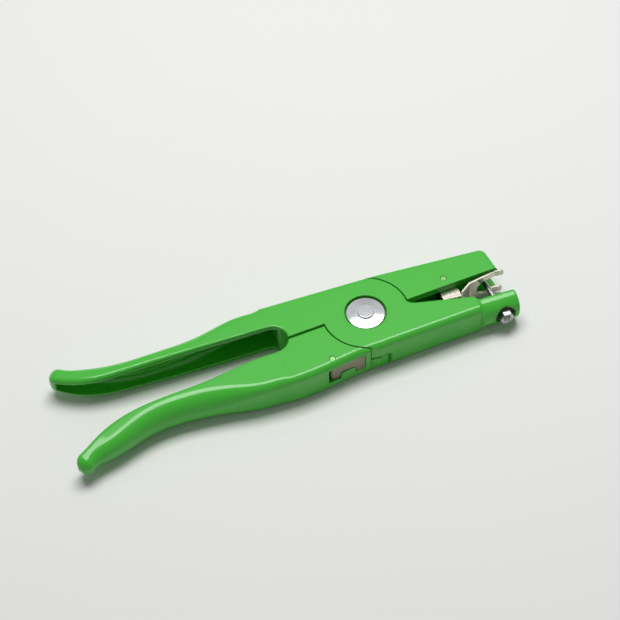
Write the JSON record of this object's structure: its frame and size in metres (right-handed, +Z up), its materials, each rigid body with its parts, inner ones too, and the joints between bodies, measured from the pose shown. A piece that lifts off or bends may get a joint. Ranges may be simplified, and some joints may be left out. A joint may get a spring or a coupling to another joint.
{
  "type": "ear tag applicator",
  "caption": "Plier-like applicator with crossed hollow arms on a dished pivot, a hinged spring fork that holds a tag on one jaw and a pointed pin in the nose of the other.",
  "frame": {"origin": "centre of the pivot on the face that the tool lies on", "axes": "+X towards the jaws, +Y towards the handle of the pin arm, +Z up along the pivot"},
  "size_m": [0.2462, 0.0648, 0.0206],
  "materials": {
    "green_paint": "gloss",
    "plated_steel": "satin",
    "stainless": "satin",
    "tool_steel": "polished",
    "spring_steel": "satin",
    "nylon": "matt",
    "black_fibre": "matt"
  },
  "bodies": {
    "clip_side": {"clip_arm": "green_paint", "pivot_bolt": "plated_steel", "pivot_sleeve": "plated_steel", "pivot_washer": "plated_steel", "pivot_nut": "plated_steel", "lap_washer": "nylon", "return_spring": "spring_steel", "clip_pin": "plated_steel", "clip_spring": "spring_steel", "lock_pin": "plated_steel"},
    "pin_side": {"pin_arm": "green_paint", "applicator_pin": "tool_steel", "pin_washer": "black_fibre", "pin_nut": "plated_steel"},
    "tag_clip": {"tag_clip": "stainless"},
    "lock_pawl": {"lock_pawl": "stainless"}
  },
  "joints": [
    {"name": "jaw_pivot", "type": "hinge", "parent": "clip_side", "child": "pin_side", "pos_m": [0, 0, 0.01], "axis": [0, 0, -1], "range_deg": [-1.5, 24], "deforming": ["return_spring"]},
    {"name": "clip_hinge", "type": "hinge", "parent": "clip_side", "child": "tag_clip", "pos_m": [0.0468, 0.0067, 0.01], "axis": [0, 0, -1], "range_deg": [0, 12], "stiffness_Nm_per_rad": 0.3, "springref_deg": -11.46, "deforming": ["clip_spring"]},
    {"name": "pawl_hinge", "type": "hinge", "parent": "clip_side", "child": "lock_pawl", "pos_m": [-0.0267, -0.0222, 0.01085], "axis": [0, 0, -1], "range_deg": [0, 40]}
  ]
}
